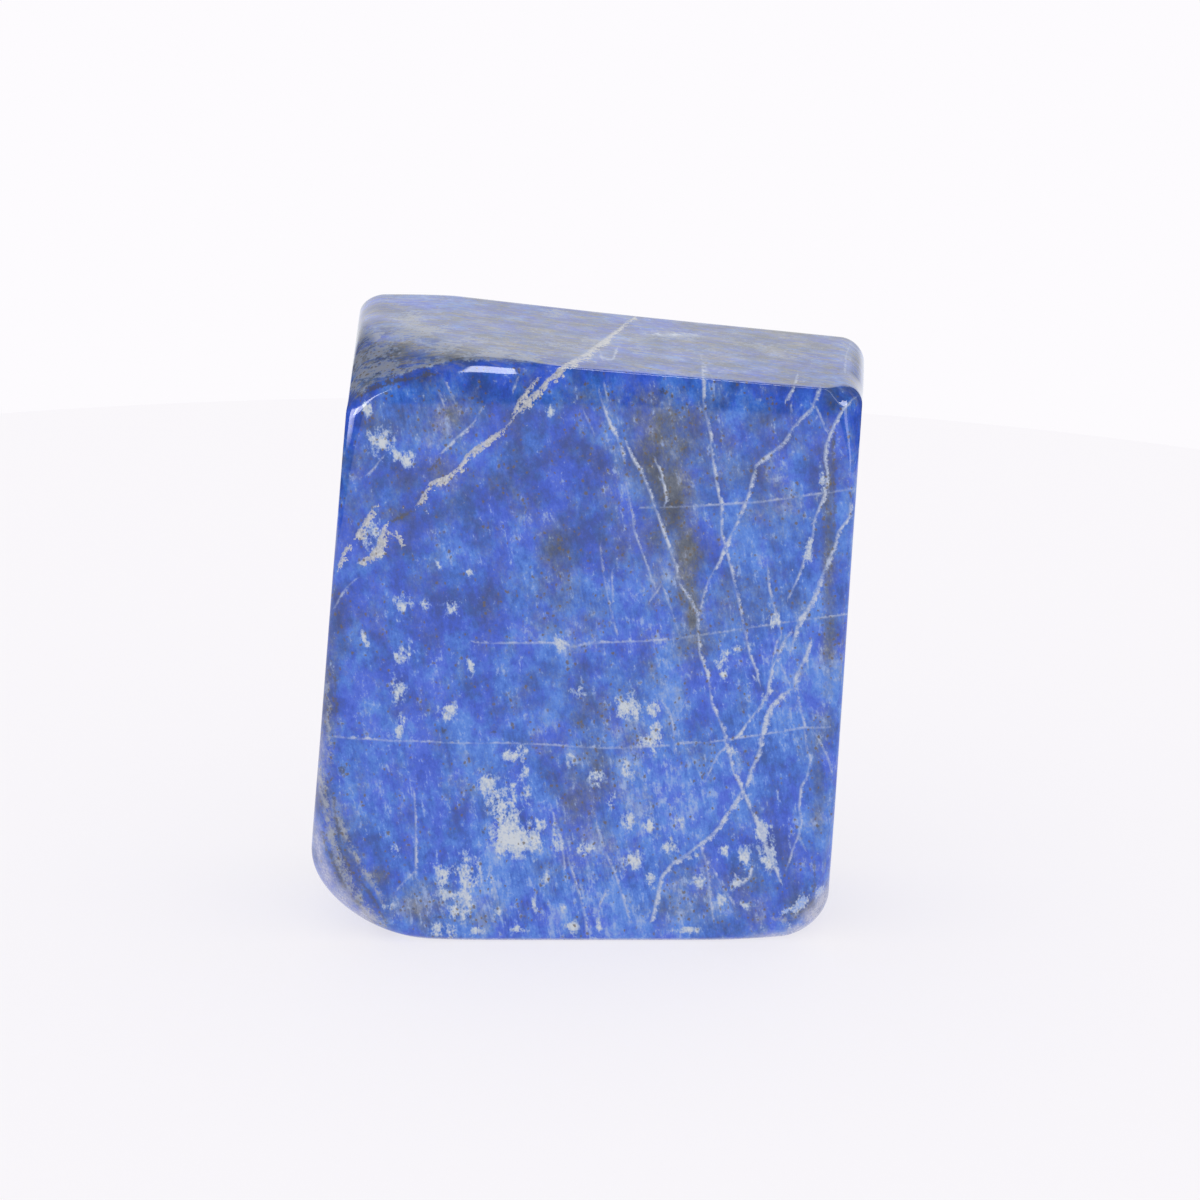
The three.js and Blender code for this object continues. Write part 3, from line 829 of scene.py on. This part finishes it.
def foliated_place(shader):
    """The place in mm along the stone's own axes: across its fibres, through its layers, along both."""
    place = shader.vector("MULTIPLY", shader.add("TexCoord").outputs["Object"], (1 / MM,) * 3)
    normal = Vector(LAYER_NORMAL).normalized()
    fibre = Vector(FIBRE_WAY)
    fibre = (fibre - normal * fibre.dot(normal)).normalized()
    joined = shader.add("CombineXYZ")
    for socket, axis in zip(joined.inputs, (normal.cross(fibre), normal, fibre)):
        shader.feed(socket, shader.vector("DOT_PRODUCT", place, tuple(axis)))
    return joined.outputs[0]


def veins_mask(shader, kind, fields, ragged, crumbs):
    """Where veins of a kind show, from 0 to 1, with their edges broken up by two noises."""
    softness, by_ragged, by_crumbs, share, share_by_ragged = VEIN_EDGES[kind]
    wobble, breaks = ragged * by_ragged + crumbs * by_crumbs, ragged * share_by_ragged + share
    total = None
    for number in range(sum(name.startswith(kind) and name.endswith("width") for name in fields)):
        distance = shader.attribute(f"{kind}_{number}_distance")
        width = shader.attribute(f"{kind}_{number}_width")
        moved = distance + wobble * (width * WOBBLE_PER_WIDTH + LEAST_WOBBLE).clamped()
        edge = width * breaks - abs(moved)
        mask = (edge / softness + 0.5).clamped()
        mask = mask * (width * SHOWN_PER_WIDTH + LEAST_SHOWN).clamped()
        total = mask if total is None else total.most(mask)
    return total


def lapis_material(fields):
    """Polished lapis: blue lazurite in fibres and clouds, calcite veins and patches, pyrite specks."""
    material = bpy.data.materials.new("polished_lapis")
    material.use_nodes = True
    shader = Shader(material.node_tree)
    place = foliated_place(shader)

    noises = (shader.noise(place, *settings) for settings in NOISES.values())
    clouds, hues, drifts, fibres, threads, streaks, flecks, crumbs, ragged = noises

    kinds = ("haze", "deep", "gold", "calcite", "spot", "on_top")
    # deep holds deeper blue patches, and one painted dark reflection at the right end of the top front edge.
    haze, deep, gold, calcite, spots, on_top = map(shader.attribute, kinds)
    cut = shader.attribute("cut").step(*SPANS["cut"])

    # The blue ground, duller where brown dust lies in it. On the top it is drabber, and made lighter by
    # painted light from above.
    tone = clouds * 0.14 + flecks * 0.06 + crumbs * 0.03 + haze * 0.28 - deep * 0.20 + calcite * 0.10
    tone = tone + (threads * 0.09 + fibres * 0.06) * (haze * 0.9 + 0.1)
    # on_top * 0.12 is painted light: it makes the top lighter than the front.
    tone = tone + streaks * cut * 0.07 + on_top * 0.12 + 0.36
    azure = (hues * 0.45 + haze * 0.7 - deep * 0.3 + 0.36).clamped()
    blue = shader.mix(azure, shader.ramp(tone, VIOLETS), shader.ramp(tone, AZURES))
    drab = drifts * 0.16 + crumbs * 0.05 + flecks * 0.04 + gold * 1.25 - haze * 0.1 + on_top * 0.42
    drab = (drab + streaks * cut * (on_top * 0.06 + 0.08) - 0.02).clamped()
    colour = shader.mix(drab, blue, shader.ramp(tone + drab * 0.1, DRABS))
    colour = shader.mix((streaks * 0.7 - 0.4).clamped() * cut * (on_top * 0.4 + 0.25), colour, STREAK_GOLD)
    colour = shader.mix((-0.8 - streaks * 0.8).clamped() * cut * (on_top * 0.2 + 0.2), colour, DARK_SPOT)

    dark = (spots + crumbs * 0.12).step(*SPANS["spot"])
    colour = shader.mix(dark * COVER["spot"], colour, DARK_SPOT)

    # Pale wisps along the fibres, and calcite in lacy patches with a pale halo.
    wisps = fibres * 0.25 + threads * 0.4 + flecks * 0.65 + crumbs * 0.2 + clouds * 0.3 + haze * 1.6
    wisps = (wisps - 1.45).step(*SPANS["wisp"])
    colour = shader.mix(wisps * COVER["wisp"], colour, WISP)
    lace = (flecks * 0.30 + crumbs * 0.07 + threads * 0.10) * (calcite * 1.2 + 0.45).clamped()
    lace = lace + calcite * 1.3 + haze * 0.08
    colour = shader.mix(lace.step(*SPANS["halo"]) * COVER["halo"], colour, PALE_BLUE)
    beige = veins_mask(shader, "beige", fields, ragged, crumbs)
    colour = shader.mix(beige * (0.55 + flecks * 0.3 + crumbs * 0.15).clamped(), colour, BEIGE)
    seam = veins_mask(shader, "seam", fields, ragged, crumbs)
    colour = shader.mix(seam * COVER["seam"], colour, SEAM_BROWN)
    cream_share = (crumbs * 0.15 + ragged * 0.15 + lace * 0.9 - 0.45).clamped()
    chalk = shader.mix(cream_share, CALCITE_GREY, CALCITE_CREAM)
    chalk = shader.mix(on_top, chalk, TOP_BEIGE)
    chalky = lace.step(*SPANS["chalk"])
    colour = shader.mix(chalky * (1 - on_top * 0.3), colour, chalk)

    white = veins_mask(shader, "white", fields, ragged, crumbs)
    chalk = shader.mix((ragged * 0.3 + crumbs * 0.2 + 0.4).clamped(), VEIN_BLUE, VEIN_WHITE)
    colour = shader.mix(white * (0.80 + threads * 0.14 + ragged * 0.16).clamped(), colour, chalk)
    cream = veins_mask(shader, "cream", fields, ragged, crumbs)
    chalk = shader.mix((crumbs * 0.3 + 0.6).clamped(), VEIN_GREY, VEIN_CREAM)
    colour = shader.mix(cream * (0.85 + ragged * 0.12).clamped(), colour, chalk)

    # Specks of pyrite and brown dust: some all over, and crowds of finer ones in the gold places.
    uneven = crumbs * 0.04 + flecks * 0.03
    distance, chance = shader.grains(place, SPECK_CELL, 1)
    there = ((chance - 0.30 + drab * 0.5) * 6).clamped()
    speck = ((chance * chance * 0.14 + uneven + 0.03 - distance) / 0.08 + 0.5).clamped() * there
    distance, chance = shader.grains(place, FINE_CELL, 2)
    there = ((chance - 0.86 + gold * 0.75 + drifts * 0.14) * 5).clamped()
    fine = ((chance * 0.18 + uneven * 2 + 0.12 - distance) / 0.18 + 0.5).clamped() * there
    colour = shader.mix(speck.most(fine) * COVER["speck"], colour, SPECK_BROWN)

    bruise = (shader.attribute("bruise") + crumbs * 0.12 + flecks * 0.1).step(*SPANS["bruise"])
    chalk = shader.mix((crumbs * 0.5 + 0.1).clamped(), BRUISE_BLUE, CALCITE_CREAM)
    colour = shader.mix(bruise * COVER["bruise"], colour, chalk)
    ground = (shader.attribute("ground") * (1 + flecks * 0.12 + crumbs * 0.12)).clamped()
    colour = shader.mix(ground * COVER["ground"], colour, GROUND_PALE)

    shown = shader.add("BsdfPrincipled")
    shader.feed(shown.inputs["Base Color"], colour)
    dull = chalky.most(cream) * CHALK_DULLNESS + ground * GROUND_DULLNESS
    shader.feed(shown.inputs["Roughness"], dull + POLISH)
    shown.inputs["IOR"].default_value = STONE_IOR
    shader.feed(shader.add("OutputMaterial").inputs["Surface"], shown.outputs[0])
    return material


def floor_material():
    """A matt white that glows a little, as an overlit turntable looks."""
    material = bpy.data.materials.new("white_floor")
    material.use_nodes = True
    shown = material.node_tree.nodes["Principled BSDF"]
    shown.inputs["Base Color"].default_value = (*(FLOOR_LIT * channel for channel in FLOOR_WHITE), 1)
    shown.inputs["Roughness"].default_value = FLOOR_ROUGHNESS
    shown.inputs["Specular IOR Level"].default_value = 0.0
    shown.inputs["Emission Color"].default_value = (*FLOOR_WHITE, 1)
    shown.inputs["Emission Strength"].default_value = 1 - FLOOR_LIT
    return material


def floor_disc(shift):
    """The round white floor that the stone stands on."""
    turns = np.linspace(0, 2 * np.pi, FLOOR_SIDES, endpoint=False)
    rim = np.stack([np.cos(turns), np.sin(turns), 0 * turns], -1) * FLOOR_RADIUS
    rim += (FLOOR_CENTRE[0] + shift[0], FLOOR_CENTRE[1] + shift[1], -FLOOR_GAP)
    mesh = bpy.data.meshes.new("floor")
    mesh.from_pydata((rim * MM).tolist(), [], [tuple(range(FLOOR_SIDES))])
    mesh.materials.append(floor_material())
    floor = linked("floor", mesh)


def within(value, low, high, edge):
    """1 between low and high and 0 outside them, over a soft edge."""
    return ((value - low) / edge + 0.5).clamped() * ((high - value) / edge + 0.5).clamped()


def studio_world():
    """Even pale light all round. A polish mirrors only the backdrop behind the stone and some softboxes."""
    world = bpy.data.worlds.new("studio")
    bpy.context.scene.world = world
    world.use_nodes = True
    shader = Shader(world.node_tree)
    split = shader.add("SeparateXYZ")
    shader.feed(split.inputs[0], shader.add("TexCoord").outputs["Generated"])
    right, back, up = (Value(shader, socket) for socket in split.outputs)
    azimuth = shader.math("DEGREES", shader.math("ARCTAN2", right, back * -1))
    elevation = shader.math("DEGREES", shader.math("ARCSINE", up))
    behind, high = abs(azimuth).step(*BACKDROP_SIDES), up.step(*BACKDROP_TOP)
    mirrored = behind * (1 - high * (1 - CEILING)) + (1 - behind) * FRONT_DARK
    for from_azimuth, to_azimuth, side, from_height, to_height, edge, radiance in SOFTBOXES:
        box = within(azimuth, from_azimuth, to_azimuth, side)
        box = box * within(elevation, from_height, to_height, edge)
        mirrored = mirrored + box * radiance
    rays = shader.add("LightPath")
    glossy = Value(shader, rays.outputs["Is Glossy Ray"])
    level = glossy * mirrored + (1 - glossy)
    colour = shader.mix(Value(shader, rays.outputs["Is Camera Ray"]), EVEN_LIGHT, BACKDROP)
    background = shader.add("Background")
    shader.feed(background.inputs["Color"], colour)
    shader.feed(background.inputs["Strength"], level)
    shader.feed(shader.add("OutputWorld").inputs["Surface"], background.outputs[0])


def camera(shift):
    lens = bpy.data.cameras.new("camera")
    lens.lens, lens.sensor_width = LENS, SENSOR
    lens.clip_start, lens.clip_end = NEAREST, FARTHEST
    view = linked("camera", lens)
    aim = Vector(AIM + shift) * MM
    back = Vector((0, -math.cos(CAMERA_ELEVATION), math.sin(CAMERA_ELEVATION)))
    view.location = aim + back * CAMERA_DISTANCE * MM
    view.rotation_euler = (-back).to_track_quat("-Z", "Y").to_euler()
    bpy.context.scene.camera = view


stone, shift = stone_object(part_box(NODE))
stone.data.materials.append(lapis_material([field.name for field in stone.data.attributes]))
camera(shift)
floor_disc(shift)
studio_world()
bpy.context.scene.view_settings.view_transform = "Standard"
